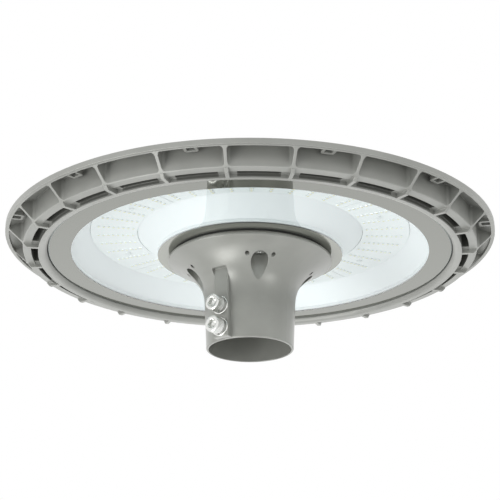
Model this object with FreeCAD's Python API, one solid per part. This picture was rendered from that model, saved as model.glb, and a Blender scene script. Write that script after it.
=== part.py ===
import FreeCAD, Part
import math
import os

# Round LED street light head for the top of a post, in millimetres.
# The origin is the centre of the collar's mouth, +Z is up, and the clamp bolts look along -Y.
# An azimuth is measured about +Z from -Y towards +X, and a radius from the post's axis.

# Driving sizes of the head
rim_radius = 240.0
head_depth = 23.3
dome_rise = 42.0
skin = 3.0
lip_width = 3.5
lip_height = 5.0

# Ribs, lugs and vent slots, from the lip inwards
bay_count = 24
rib_thickness = 2.8
pocket_width = 14.1
pocket_corner = 3.0
edge_break = 0.6
ring_width = 8.0
ring_step = 3.3
ring_slope = 0.7
slot_width = 6.9
slot_roof = 7.8
slot_corner = 2.5
slot_ledge = 0.3
bar_width = 3.4
bar_reach = 11.5
bar_slope = 3.0
end_block_length = 6.5
end_block_step = 4.2
lug_width = 12.5
lug_depth = 11.0
lug_lift = 0.4
lug_wall = 2.5
lug_recess = 5.0

# Glass, its seat and its seals
glass_thickness = 4.0
glass_edge = 0.8
glass_overlap = 9.2
frame_width = 8.6
frame_flat = 3.0
frame_drop = 4.3
frame_edge = 0.8
seam = 0.9
seal_thickness = 2.0
seal_width = 8.0
seal_edge_gap = 1.5

# Light chamber
outer_border = 22.4
inner_border = 11.2
outer_slope = 17.6
inner_slope = 19.6
chamber_room = 2.4
chamber_wall = 4.0
trough_depth = 18.6
plate_thickness = 4.0
lip_room = 2.0
shelf_thickness = 3.0
sheet = 1.0
sheet_lip = 9.0
board_thickness = 1.6
board_gap = 0.5
board_joint = 0.4
board_count = 4
rows_per_board = 10
led_pitch = 4.85
led_width = 3.0
led_height = 0.8
led_root = 0.2
led_first_margin = 5.0
led_last_margin = 8.0

# Hub well that carries the driver
well_wall = 4.0
well_setback = 2.0
hub_floor = 5.0
hub_boss_radius = 8.8
hub_boss_roof = 2.0

# Cover joint, from the ring wall inwards
seat_rise = 3.5
seat_thickness = 6.5
cover_setback = 7.9
cover_gap = 0.5
cover_gasket_width = 5.5
cover_gasket_thickness = 2.0
gasket_side_gap = 0.5
gasket_setback = 3.5
seat_margin = 4.0
flange_margin = 1.0
cover_screw_count = 8
cover_screw_setback = 5.5
cover_screw_size = 5.0
cover_screw_bite = 5.0
cover_head_radius = 4.25
cover_head_height = 3.0
cover_head_seat = 3.0
cover_hole_room = 0.3

# Post collar, from its bore outwards
bore_radius = 40.0
bore_length = 80.0
throat_step = 6.0
throat_thickness = 14.0
mouth_wall = 2.3
mouth_round = 1.2
tube_height = 41.6
tube_draft = 1.7
flare_reach = 36.2
flare_shares = ((0.091, 0.408), (0.359, 0.691), (0.718, 0.895), (1.0, 1.0))
flange_edge = 2.2
flange_seat_height = 2.6
flange_seat_setback = 3.7
collar_gasket_thickness = 2.0

# Collar screws, their flutes and the small drain holes beside them
collar_screw_count = 4
collar_screw_setback = 11.7
collar_screw_size = 8.0
collar_screw_bite = 14.0
collar_hole_room = 0.5
flute_radius = 8.3
flute_roof = 6.0
collar_head_radius = 6.5
collar_head_height = 5.0
collar_key = 5.0
collar_key_depth = 2.5
collar_washer_radius = 8.0
collar_washer_thickness = 1.6
drain_radius = 2.0
drain_offset = 12.7
drain_setback = 6.0
drain_roof = 10.0

# Clamp pad and its two bolts
pad_stand = 5.7
pad_half_width = 8.3
pad_bottom = 0.8
pad_top = 70.0
pad_round = 1.0
pad_top_round = 1.5
bolt_levels = (10.3, 32.0)
bolt_size = 10.0
bolt_head_radius = 8.0
bolt_head_height = 10.0
bolt_key = 8.0
bolt_key_depth = 5.0
bolt_tip_setback = 1.0
washer_radius = 9.0
washer_thickness = 2.0
spring_radius = 8.0
spring_thickness = 2.5
spring_gap = 1.6
washer_room = 0.2

# Gear in the hub well
tray_edge_gap = 2.0
tray_thickness = 1.5
tray_room = 2.0
pillar_radius = 4.5
pillar_setback = 6.0
pillar_azimuths = (30.0, 150.0, 210.0, 330.0)
pillar_thread_depth = 9.0
driver_end_room = 7.0
driver_width = 60.0
driver_height = 30.0
driver_round = 4.0
driver_tab = 6.0
driver_tab_width = 20.0
driver_tab_thickness = 2.0
gear_gap = 4.5
terminal_size = (30.0, 15.0, 17.0)
terminal_poles = 3
terminal_mouth_radius = 2.2
terminal_mouth_depth = 6.0
surge_size = (28.0, 14.0, 20.0)
surge_chamfer = 1.5
gland_thread_radius = 8.0
gland_hex = 22.0
gland_hex_height = 5.0
gland_dome_radius = 9.0
gland_dome_height = 7.0
gland_dome_round = 3.0
gland_bore = 4.0
gland_nut_height = 4.0
breather_margin = 3.0
breather_thread_radius = 5.0
breather_cap_radius = 7.0
breather_cap_height = 5.0
breather_tail = 1.0
earth_setback = 16.0

# Small screws: M3 for boards and sheets, M4 for the tray and the earth
small_size = 3.0
small_head_radius = 2.75
small_head_height = 1.6
small_reflector_length = 3.0
small_board_length = 4.0
small_driver_length = 4.0
small_thread_depth = 3.0
small_hole_room = 0.2
tray_screw_size = 4.0
tray_head_radius = 3.5
tray_head_height = 2.4
tray_screw_length = 8.0
tray_hole_room = 0.2
earth_screw_length = 2.5
earth_thread_depth = 3.0
reflector_screws_outside = 8
reflector_screws_inside = 4
thread_clearance = 0.05

# Radii that follow: inwards from the rim, and outwards from the bore
up = FreeCAD.Vector(0, 0, 1)
centre = FreeCAD.Vector(0, 0, 0)
bay = 360.0 / bay_count
lip_inner = rim_radius - lip_width
pocket_radius = lip_inner - pocket_width
slot_outer = pocket_radius - ring_width
slot_inner = slot_outer - slot_width
frame_inner = slot_inner - frame_width
glass_outer = frame_inner - seam
trough_outer_low = glass_outer - outer_border
trough_outer_high = trough_outer_low - outer_slope
chamber_outer = trough_outer_low + chamber_room
outer_lip_edge = trough_outer_low + sheet_lip
cover_outer = pocket_radius - cover_setback
cover_screw_radius = cover_outer - cover_screw_setback
cover_gasket_outer = cover_screw_radius - gasket_setback
cover_gasket_inner = cover_gasket_outer - cover_gasket_width
seat_inner = cover_gasket_inner - seat_margin
throat_radius = bore_radius - throat_step
mouth_radius = bore_radius + mouth_wall
tube_radius = mouth_radius + tube_draft
flange_radius = tube_radius + flare_reach
flange_seat = flange_radius - flange_seat_setback
collar_screw_circle = mouth_radius + collar_screw_setback
drain_circle = collar_screw_circle + drain_setback
pad_face = mouth_radius + pad_stand
glass_hole = flange_radius - glass_overlap
well_outer = glass_hole - well_setback
well_inner = well_outer - well_wall
trough_inner_low = flange_radius + inner_border
trough_inner_high = trough_inner_low + inner_slope
inner_lip_edge = trough_inner_low - sheet_lip
inner_shelf_edge = trough_inner_low - sheet
led_first_radius = trough_inner_high + led_first_margin
led_last_radius = trough_outer_high - led_last_margin
leds_per_row = 1 + int((led_last_radius - led_first_radius) / led_pitch)
tray_radius = well_inner - tray_edge_gap
pillar_circle = tray_radius - pillar_setback
breather_offset = throat_radius - breather_cap_radius - breather_margin
earth_circle = trough_inner_high - earth_setback

# Levels that follow, upwards from the mouth
hub_under = bore_length + throat_thickness
floor_top = hub_under + hub_floor
glass_under = hub_under + collar_gasket_thickness
glass_top = glass_under + glass_thickness
shelf_under = glass_top + seal_thickness
lip_seat = shelf_under + lip_room
shelf_top = lip_seat + shelf_thickness
plate_under = lip_seat + trough_depth
plate_top = plate_under + plate_thickness
frame_face = glass_under - frame_drop
ring_low = frame_face + ring_step
pocket_floor = ring_low + ring_slope
end_block_under = frame_face + end_block_step
rim_top = frame_face + head_depth
lip_bottom = rim_top - lip_height
seat_level = rim_top + seat_rise
slot_top = seat_level - slot_roof
dome_top = rim_top + dome_rise
dome_radius = (rim_radius ** 2 + dome_rise ** 2) / (2 * dome_rise)
dome_centre = dome_top - dome_radius
flange_high = hub_under - flange_seat_height
flange_low = flange_high - flange_edge
flare_rise = flange_low - tube_height
flute_ceiling = hub_under - flute_roof
collar_screw_tip = hub_under + collar_screw_bite
tray_level = collar_screw_tip + hub_boss_roof + tray_room
tray_top = tray_level + tray_thickness
driver_size = (2 * (tray_radius - driver_tab - driver_end_room), driver_width, driver_height)


def polar(radius, azimuth, z=0.0):
    angle = math.radians(azimuth)
    return FreeCAD.Vector(radius * math.sin(angle), -radius * math.cos(angle), z)


def dome(radius, depth=0.0):
    return dome_centre + math.sqrt((dome_radius - depth) ** 2 - radius ** 2)


def dome_arc(start, end, depth=0.0):
    # The two last points of an arc that follows the dome at a depth under its skin
    middle = (start + end) / 2
    return (middle, dome(middle, depth)), (end, dome(end, depth))


def level_arc(start, end):
    # The two last points of an arc that comes down from its start and runs out level at its end
    run = end[0] - start[0]
    drop = start[1] - end[1]
    radius = (run ** 2 + drop ** 2) / (2 * drop)
    turn = (math.atan2(drop - radius, -run) - math.pi / 2) / 2
    return (end[0] + radius * math.cos(turn), end[1] + radius * (1 + math.sin(turn))), end


def outline(steps):
    # A step is a corner (radius, z), a pair of points for an arc, or a list of points for a smooth curve
    edges = []
    first = FreeCAD.Vector(steps[0][0], 0, steps[0][1])
    here = first
    for step in steps[1:]:
        if isinstance(step, list):
            points = [here] + [FreeCAD.Vector(radius, 0, z) for radius, z in step]
            curve = Part.BSplineCurve()
            curve.interpolate(Points=points, InitialTangent=edges[-1].tangentAt(0),
                              FinalTangent=points[-1] - points[-2])
            edges.append(curve.toShape())
            here = points[-1]
        elif isinstance(step[0], tuple):
            middle = FreeCAD.Vector(step[0][0], 0, step[0][1])
            end = FreeCAD.Vector(step[1][0], 0, step[1][1])
            edges.append(Part.Arc(here, middle, end).toShape())
            here = end
        else:
            end = FreeCAD.Vector(step[0], 0, step[1])
            edges.append(Part.LineSegment(here, end).toShape())
            here = end
    edges.append(Part.LineSegment(here, first).toShape())
    return Part.Face(Part.Wire(edges))


def turned(steps, span=360):
    return outline(steps).revolve(centre, up, span)


def disc(radius, low, high, place=centre):
    return Part.makeCylinder(radius, high - low, place + up * low)


def ring(inner, outer, low, high, place=centre):
    return disc(outer, low, high, place).cut(disc(inner, low, high, place))


def sector(inner, outer, low, high, azimuth, span):
    shape = turned([(inner, low), (outer, low), (outer, high), (inner, high)], span)
    return around(shape, azimuth - span / 2 - 90)


def spoke(points, thickness, azimuth=0.0):
    # A plate of even thickness that stands in a radial plane; its points are (radius, z)
    face = outline(points)
    face.translate(FreeCAD.Vector(0, -thickness / 2, 0))
    return around(face.extrude(FreeCAD.Vector(0, thickness, 0)), azimuth - 90)


def block(size, middle, low):
    corner = FreeCAD.Vector(middle.x - size[0] / 2, middle.y - size[1] / 2, low)
    return Part.makeBox(size[0], size[1], size[2], corner)


def hexagon(across_flats, low, high, place=centre):
    corner = across_flats / 2 / math.cos(math.radians(30))
    points = [place + up * low + polar(corner, 60 * side) for side in range(7)]
    return Part.Face(Part.makePolygon(points)).extrude(up * (high - low))


def around(shape, azimuth):
    copy = shape.copy()
    copy.rotate(centre, up, azimuth)
    return copy


def repeated(shape, count, first=0.0):
    return [around(shape, first + 360.0 * turn / count) for turn in range(count)]


def uprights(shape):
    # The edges that run along Z
    return [edge for edge in shape.Edges if edge.BoundBox.XLength + edge.BoundBox.YLength < 0.001]


def panned(size, head_radius, head_height, length, place, sign=1):
    # A screw along Z: its head stands on the seat at the place, its shank goes the other way
    head = Part.makeCylinder(head_radius, head_height, place, up * sign)
    shank = Part.makeCylinder(size / 2, length, place, up * -sign)
    slot = block((head_radius * 1.2, size * 0.2, head_height * 0.5), centre, 0)
    slot.translate(place + up * (head_height * 0.5 if sign > 0 else -head_height))
    return head.fuse(shank).cut(slot)


def capped(size, head_radius, head_height, key, key_depth, length):
    # A socket head screw along +Z from its seat at z = 0, with its head below the seat
    chamfer = head_radius * 0.08
    steps = [(0, -head_height), (head_radius - chamfer, -head_height)]
    steps += [(head_radius, chamfer - head_height), (head_radius, 0), (size / 2, 0)]
    steps += [(size / 2, length - size * 0.1), (size * 0.4, length), (0, length)]
    return turned(steps).cut(hexagon(key, -head_height, key_depth - head_height))


# The die-cast lower housing: lip, ribs, ring wall, frame ring, LED plate and hub well
def lower_housing():
    steps = [(0, hub_under), (well_outer, hub_under), (well_outer, shelf_under)]
    steps += [(inner_lip_edge, shelf_under), (inner_lip_edge, lip_seat)]
    steps += [(inner_shelf_edge, lip_seat), (inner_shelf_edge, shelf_top), (well_outer, shelf_top)]
    steps += [(well_outer, plate_under), (chamber_outer, plate_under), (chamber_outer, lip_seat)]
    steps += [(outer_lip_edge, lip_seat), (outer_lip_edge, shelf_under), (frame_inner, shelf_under)]
    edge = (frame_inner, glass_under - frame_edge)
    steps += [edge, level_arc(edge, (slot_inner - frame_flat, frame_face)), (slot_inner, frame_face)]
    steps += [(slot_inner, end_block_under), (slot_outer, end_block_under), (slot_outer, ring_low)]
    steps += [(pocket_radius - edge_break, pocket_floor), (lip_inner + edge_break, lip_bottom)]
    steps += [(rim_radius, lip_bottom)]
    joint = cover_outer + cover_gap
    steps += [(rim_radius, rim_top), dome_arc(rim_radius, joint), (joint, seat_level)]
    groove_outer = cover_gasket_outer + gasket_side_gap
    groove_inner = cover_gasket_inner - gasket_side_gap
    groove_floor = seat_level - cover_gasket_thickness
    steps += [(groove_outer, seat_level), (groove_outer, groove_floor)]
    steps += [(groove_inner, groove_floor), (groove_inner, seat_level), (seat_inner, seat_level)]
    seat_under = seat_level - seat_thickness
    steps += [(seat_inner, seat_under), (slot_inner - chamber_wall, seat_under)]
    steps += [(slot_inner - chamber_wall, shelf_top), (chamber_outer + chamber_wall, shelf_top)]
    steps += [(chamber_outer + chamber_wall, plate_top), (well_inner, plate_top)]
    steps += [(well_inner, floor_top), (0, floor_top)]
    casting = turned(steps).cut(pockets() + slots())
    return casting.fuse(repeated(bar(), bay_count) + hub_bosses()).cut(housing_holes())


def pocket():
    # The space between two ribs, open below, with a flat-sided rib each side and rounded upright corners
    steps = [(pocket_radius, frame_face), (lip_inner, frame_face), (lip_inner, dome(lip_inner, skin))]
    shape = turned(steps + [(pocket_radius, dome(pocket_radius, skin))], bay)
    rib = [(pocket_radius - 1, frame_face - 1), (rim_radius, frame_face - 1), (rim_radius, dome_top),
           (pocket_radius - 1, dome_top)]
    shape = around(shape, -90).cut([spoke(rib, rib_thickness), spoke(rib, rib_thickness, bay)])
    return shape.makeFillet(min(pocket_corner, pocket_width * 0.4), uprights(shape))


def pockets():
    plain = pocket()
    lugged = plain.cut(around(lug(), bay / 2))
    return [around(lugged if turn % 2 else plain, bay * turn) for turn in range(bay_count)]


def lug():
    # A boss that hangs from the skin on the lip's inner face, with a recess in its underside
    inner = lip_inner - lug_depth
    low = lip_bottom + lug_lift
    points = [(inner, low), (lip_inner + 1, low), (lip_inner + 1, dome_top), (inner, dome_top)]
    shape = spoke(points, lug_width)
    corners = sorted(uprights(shape), key=lambda edge: edge.BoundBox.YMin)[-2:]
    shape = shape.makeFillet(min(lug_wall, lug_width * 0.3), corners)
    inner += lug_wall
    high = low + lug_recess
    points = [(inner, low - 1), (lip_inner + 1, low - 1), (lip_inner + 1, high), (inner, high)]
    return shape.cut(spoke(points, lug_width - 2 * lug_wall))


def slots():
    # Deep slots up to the cover's seat, which leave an end block each side of every bar
    span = bay - math.degrees((bar_width + 2 * end_block_length) / slot_inner)
    inner = slot_inner + slot_ledge
    outer = slot_outer - slot_ledge
    shape = sector(inner, outer, frame_face - 1, slot_top, bay / 2, span)
    shape = shape.makeFillet(min(slot_corner, (outer - inner) * 0.4), uprights(shape))
    return repeated(shape, bay_count)


def bar():
    # A radial bar across the slots, level with the frame ring, which runs out on the ring wall
    tip = slot_inner + bar_reach
    foot = tip + bar_slope
    points = [(slot_inner - 1, frame_face), (tip, frame_face), (foot, ring_low), (foot, pocket_floor + 1),
              (slot_inner - 1, pocket_floor + 1)]
    return spoke(points, bar_width)


def hub_bosses():
    top = collar_screw_tip + hub_boss_roof
    shapes = [disc(hub_boss_radius, floor_top - 1, top, place) for place in collar_screw_places()]
    for azimuth in pillar_azimuths:
        shapes.append(disc(pillar_radius, floor_top - 1, tray_level, polar(pillar_circle, azimuth)))
    return shapes


def housing_holes():
    holes = [disc(collar_screw_size / 2 + thread_clearance, hub_under, collar_screw_tip + 1, place)
             for place in collar_screw_places()]
    radius = tray_screw_size / 2 + thread_clearance
    for azimuth in pillar_azimuths:
        holes.append(disc(radius, tray_level - pillar_thread_depth, tray_level, polar(pillar_circle, azimuth)))
    holes.append(disc(radius, plate_top - earth_thread_depth, plate_top, polar(earth_circle, 90)))
    holes.append(disc(gland_thread_radius + thread_clearance, hub_under, floor_top))
    holes.append(disc(breather_thread_radius + thread_clearance, hub_under, floor_top,
                      polar(breather_offset, 180)))
    radius = cover_screw_size / 2 + thread_clearance
    for place in cover_screw_places():
        holes.append(disc(radius, seat_level - cover_screw_bite - 1, seat_level, place))
    radius = small_size / 2 + thread_clearance
    for place in board_screw_places():
        holes.append(disc(radius, plate_under, plate_under + small_thread_depth, place))
    for place in outer_reflector_places() + inner_reflector_places():
        holes.append(disc(radius, lip_seat, lip_seat + small_thread_depth - sheet, place))
    return holes


def collar_screw_places():
    return [polar(collar_screw_circle, 45 + 360.0 * turn / collar_screw_count)
            for turn in range(collar_screw_count)]


def cover_screw_places():
    return [polar(cover_screw_radius, 360.0 * (turn + 0.5) / cover_screw_count)
            for turn in range(cover_screw_count)]


def board_azimuths():
    step = 360.0 / board_count
    row_step = step / rows_per_board
    return [step * number + (step - row_step) / 2 for number in range(board_count)]


def board_screw_places():
    middle = (led_first_radius + led_last_radius) / 2
    offset = 3 * 360.0 / board_count / rows_per_board
    return [polar(middle, azimuth + side * offset) for azimuth in board_azimuths() for side in (-1, 1)]


def outer_reflector_places():
    radius = outer_lip_edge - sheet_lip * 0.4
    return [polar(radius, 360.0 * turn / reflector_screws_outside) for turn in range(reflector_screws_outside)]


def inner_reflector_places():
    radius = inner_lip_edge + sheet_lip * 0.4
    return [polar(radius, 360.0 * turn / reflector_screws_inside) for turn in range(reflector_screws_inside)]


# The domed cover with its seat flange and counterbored screw holes
def top_cover():
    inner = seat_inner + flange_margin
    steps = [(0, dome_top), dome_arc(0, cover_outer), (cover_outer, seat_level), (inner, seat_level)]
    steps += [(inner, dome(inner, skin)), dome_arc(inner, 0, skin)]
    shape = turned(steps)
    holes = []
    for place in cover_screw_places():
        holes.append(disc(cover_screw_size / 2 + cover_hole_room, seat_level, dome_top, place))
        holes.append(disc(cover_head_radius + cover_hole_room, seat_level + cover_head_seat, dome_top, place))
    return shape.cut(holes)


def cover_gasket():
    return ring(cover_gasket_inner, cover_gasket_outer, seat_level - cover_gasket_thickness, seat_level)


def cover_screws():
    seat = up * (seat_level + cover_head_seat)
    length = cover_head_seat + cover_screw_bite
    return [panned(cover_screw_size, cover_head_radius, cover_head_height, length, place + seat)
            for place in cover_screw_places()]


# The glass ring and the seals that bed it
def lens_glass():
    steps = [(glass_hole, glass_under), (glass_outer - glass_edge, glass_under)]
    steps += [(glass_outer, glass_under + glass_edge), (glass_outer, glass_top - glass_edge)]
    steps += [(glass_outer - glass_edge, glass_top), (glass_hole, glass_top)]
    return turned(steps)


def outer_seal():
    outer = glass_outer - seal_edge_gap
    return ring(outer - seal_width, outer, glass_top, shelf_under)


def inner_seal():
    inner = glass_hole + seal_edge_gap
    return ring(inner, inner + seal_width, glass_top, shelf_under)


def collar_gasket():
    return ring(glass_hole + seal_edge_gap, flange_seat, hub_under, glass_under)


# The white trough: two pressed rings, and the LED boards between them
def reflector(low_radius, high_radius, lip_radius, places):
    # The sheet lies away from the light: outwards of its slope on the outer ring, inwards on the inner one
    away = sheet if lip_radius > low_radius else -sheet
    low = lip_seat - sheet
    steps = [(lip_radius, lip_seat), (lip_radius, low), (low_radius, low)]
    steps += [(high_radius, plate_under - sheet), (high_radius, plate_under)]
    steps += [(high_radius + away, plate_under), (high_radius + away, plate_under - sheet * 0.6)]
    steps += [(low_radius + away * 0.4, lip_seat)]
    hole = small_size / 2 + small_hole_room
    return turned(steps).cut([disc(hole, low - 1, lip_seat + 1, place) for place in places])


def outer_reflector():
    return reflector(trough_outer_low, trough_outer_high, outer_lip_edge, outer_reflector_places())


def inner_reflector():
    return reflector(trough_inner_low, trough_inner_high, inner_lip_edge, inner_reflector_places())


def small_screws(places, level, length, sign):
    return [panned(small_size, small_head_radius, small_head_height, length, place + up * level, sign)
            for place in places]


def reflector_screws():
    places = outer_reflector_places() + inner_reflector_places()
    return small_screws(places, lip_seat - sheet, small_reflector_length, -1)


def board_screws():
    return small_screws(board_screw_places(), plate_under - board_thickness, small_board_length, -1)


def led_board(azimuth):
    span = 360.0 / board_count
    inner = trough_inner_high + board_gap
    outer = trough_outer_high - board_gap
    low = plate_under - board_thickness
    board = sector(inner, outer, low, plate_under, azimuth, span - board_joint)
    row_step = span / rows_per_board
    chips = []
    for row in range(rows_per_board):
        turn = azimuth - span / 2 + row_step * (row + 0.5)
        for number in range(leds_per_row):
            middle = FreeCAD.Vector(led_first_radius + led_pitch * number, 0, 0)
            chip = block((led_width, led_width, led_height + led_root), middle, low - led_height)
            chips.append(around(chip, turn - 90))
    hole = small_size / 2 + small_hole_room
    return board.fuse(chips).cut([disc(hole, low - 1, plate_under, place) for place in board_screw_places()])


# The cast post collar: bored tube, flare, flutes for the screws, and the flat clamp pad
def pole_collar():
    corner = mouth_round * (1 - math.sqrt(0.5))
    steps = [(bore_radius, 0), (mouth_radius - mouth_round, 0)]
    steps += [((mouth_radius - corner, corner), (mouth_radius, mouth_round)), (tube_radius, tube_height)]
    steps += [[(tube_radius + flare_reach * reach, tube_height + flare_rise * rise)
               for reach, rise in flare_shares]]
    steps += [(flange_radius, flange_high), (flange_seat, flange_high), (flange_seat, hub_under)]
    steps += [(throat_radius, hub_under), (throat_radius, bore_length), (bore_radius, bore_length)]
    collar = turned(steps).fuse(clamp_pad()).cut(pad_recess())
    cuts = [disc(bore_radius, -1, bore_length)]
    swing = math.degrees(math.asin(drain_offset / drain_circle))
    for turn, place in enumerate(collar_screw_places()):
        cuts.append(disc(flute_radius, mouth_round, flute_ceiling, place))
        cuts.append(disc(collar_screw_size / 2 + collar_hole_room, flute_ceiling, hub_under, place))
        for side in (-1, 1):
            azimuth = 45 + 360.0 * turn / collar_screw_count + side * swing
            cuts.append(disc(drain_radius, mouth_round, hub_under - drain_roof, polar(drain_circle, azimuth)))
    for level in bolt_levels:
        cuts.append(Part.makeCylinder(bolt_size / 2 + thread_clearance, pad_face,
                                      FreeCAD.Vector(0, 0, level), FreeCAD.Vector(0, -1, 0)))
    return collar.cut(cuts)


def clamp_pad():
    pad = Part.makeBox(2 * pad_half_width, pad_face - bore_radius + 4, pad_top - pad_bottom)
    pad.translate(FreeCAD.Vector(-pad_half_width, -pad_face, pad_bottom))
    edges = [edge for edge in pad.Edges
             if edge.BoundBox.YMax < -pad_face + 0.01 and edge.BoundBox.ZMin < pad_top - 0.01]
    return pad.makeFillet(min(pad_round, pad_half_width * 0.3), edges)


def pad_recess():
    # The pad's flat goes on up into the flare, where it ends in two rounded corners
    recess = Part.makeBox(2 * pad_half_width, flange_radius - pad_face, pad_top - pad_bottom)
    recess.translate(FreeCAD.Vector(-pad_half_width, -flange_radius, pad_bottom))
    edges = [edge for edge in recess.Edges
             if edge.BoundBox.ZMin > pad_top - 0.01 and edge.BoundBox.XLength < 0.01]
    return recess.makeFillet(min(pad_top_round, pad_half_width * 0.3), edges)


def collar_screws():
    seat = flute_ceiling - collar_washer_thickness
    screw = capped(collar_screw_size, collar_head_radius, collar_head_height, collar_key, collar_key_depth,
                   collar_screw_tip - seat)
    shapes = []
    for place in collar_screw_places():
        copy = screw.copy()
        copy.translate(place + up * seat)
        shapes.append(copy)
    return shapes


def collar_washers():
    inner = collar_screw_size / 2 + washer_room
    low = flute_ceiling - collar_washer_thickness
    return [ring(inner, collar_washer_radius, low, flute_ceiling, place) for place in collar_screw_places()]


# Clamp bolts with their washers, modelled along +Z and then laid along +Y
def laid(shape, level, stand_off):
    copy = shape.copy()
    copy.rotate(centre, FreeCAD.Vector(1, 0, 0), -90)
    copy.translate(FreeCAD.Vector(0, -pad_face - stand_off, level))
    return copy


def clamp_bolts():
    stand_off = washer_thickness + spring_thickness
    length = stand_off + pad_face - bore_radius - bolt_tip_setback
    bolt = capped(bolt_size, bolt_head_radius, bolt_head_height, bolt_key, bolt_key_depth, length)
    return [laid(bolt, level, stand_off) for level in bolt_levels]


def flat_washers():
    washer = ring(bolt_size / 2 + washer_room, washer_radius, 0, washer_thickness)
    return [laid(washer, level, washer_thickness) for level in bolt_levels]


def spring_washers():
    washer = ring(bolt_size / 2 + washer_room, spring_radius, 0, spring_thickness)
    washer = washer.cut(Part.makeBox(spring_gap, spring_radius, spring_thickness))
    return [laid(washer, level, washer_thickness + spring_thickness) for level in bolt_levels]


# Electrical gear in the hub well
def driver_tray():
    tray = disc(tray_radius, tray_level, tray_top)
    hole = tray_screw_size / 2 + tray_hole_room
    holes = [disc(hole, tray_level, tray_top, polar(pillar_circle, azimuth)) for azimuth in pillar_azimuths]
    hole = small_size / 2 + thread_clearance
    holes += [disc(hole, tray_level, tray_top, place) for place in driver_screw_places()]
    return tray.cut(holes)


def driver_screw_places():
    offset = (driver_size[0] + driver_tab) / 2
    return [FreeCAD.Vector(side * offset, 0, 0) for side in (-1, 1)]


def tray_screws():
    return [panned(tray_screw_size, tray_head_radius, tray_head_height, tray_screw_length,
                   polar(pillar_circle, azimuth, tray_top)) for azimuth in pillar_azimuths]


def driver():
    body = block(driver_size, centre, tray_top)
    body = body.makeFillet(driver_round, uprights(body))
    tabs = block((driver_size[0] + 2 * driver_tab, driver_tab_width, driver_tab_thickness), centre, tray_top)
    hole = small_size / 2 + small_hole_room
    tab_top = tray_top + driver_tab_thickness
    return body.fuse(tabs).cut([disc(hole, tray_top, tab_top, place) for place in driver_screw_places()])


def driver_screws():
    return small_screws(driver_screw_places(), tray_top + driver_tab_thickness, small_driver_length, 1)


def terminal_block():
    offset = driver_width / 2 + gear_gap + terminal_size[1] / 2
    body = block(terminal_size, FreeCAD.Vector(0, offset, 0), tray_top)
    pitch = terminal_size[0] / terminal_poles
    top = tray_top + terminal_size[2]
    mouths = []
    for pole in range(terminal_poles):
        place = FreeCAD.Vector(pitch * (pole - (terminal_poles - 1) / 2), offset, 0)
        mouths.append(disc(terminal_mouth_radius, top - terminal_mouth_depth, top, place))
    return body.cut(mouths)


def surge_protector():
    offset = driver_width / 2 + gear_gap + surge_size[1] / 2
    body = block(surge_size, FreeCAD.Vector(0, -offset, 0), tray_top)
    top = [edge for edge in body.Edges if edge.BoundBox.ZMin > tray_top + surge_size[2] - 0.01]
    return body.makeChamfer(surge_chamfer, top)


def cable_gland():
    low = hub_under - gland_hex_height
    end = low - gland_dome_height
    body = hexagon(gland_hex, low, hub_under)
    thread = disc(gland_thread_radius, low, floor_top + gland_nut_height)
    dome_cap = disc(gland_dome_radius, end, low)
    rim = [edge for edge in dome_cap.Edges if edge.BoundBox.ZMax < end + 0.01]
    dome_cap = dome_cap.makeFillet(gland_dome_round, rim)
    hole = disc(gland_bore, end - 1, floor_top + gland_nut_height + 1)
    return body.fuse([thread, dome_cap]).cut(hole)


def gland_nut():
    body = hexagon(gland_hex, floor_top, floor_top + gland_nut_height)
    return body.cut(disc(gland_thread_radius + thread_clearance, floor_top, floor_top + gland_nut_height))


def breather_valve():
    place = polar(breather_offset, 180)
    cap = disc(breather_cap_radius, hub_under - breather_cap_height, hub_under, place)
    thread = disc(breather_thread_radius, hub_under, floor_top + breather_tail, place)
    return cap.fuse(thread)


def earth_screw():
    return panned(tray_screw_size, tray_head_radius, tray_head_height, earth_screw_length,
                  polar(earth_circle, 90, plate_top))


def joined(shapes):
    return Part.makeCompound(shapes)


nodes = {
    "lower_housing": lower_housing(),
    "top_cover": top_cover(),
    "cover_gasket": cover_gasket(),
    "cover_screws": joined(cover_screws()),
    "lens_glass": lens_glass(),
    "outer_glass_seal": outer_seal(),
    "inner_glass_seal": inner_seal(),
    "collar_gasket": collar_gasket(),
    "outer_reflector": outer_reflector(),
    "inner_reflector": inner_reflector(),
    "reflector_screws": joined(reflector_screws()),
    "board_screws": joined(board_screws()),
    "pole_collar": pole_collar(),
    "collar_screws": joined(collar_screws()),
    "collar_washers": joined(collar_washers()),
    "clamp_bolts": joined(clamp_bolts()),
    "flat_washers": joined(flat_washers()),
    "spring_washers": joined(spring_washers()),
    "driver_tray": driver_tray(),
    "tray_screws": joined(tray_screws()),
    "driver": driver(),
    "driver_screws": joined(driver_screws()),
    "terminal_block": terminal_block(),
    "surge_protector": surge_protector(),
    "cable_gland": cable_gland(),
    "gland_nut": gland_nut(),
    "breather_valve": breather_valve(),
    "earth_screw": earth_screw(),
}
for number, board_azimuth in enumerate(board_azimuths(), 1):
    nodes["led_board_%d" % number] = led_board(board_azimuth)

os.makedirs("parts", exist_ok=True)
for name, shape in nodes.items():
    shape.exportStep("parts/%s.step" % name)
    print(name, len(shape.Solids), "solids", round(shape.Volume / 1000, 1), "cm3", shape.isValid())
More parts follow.
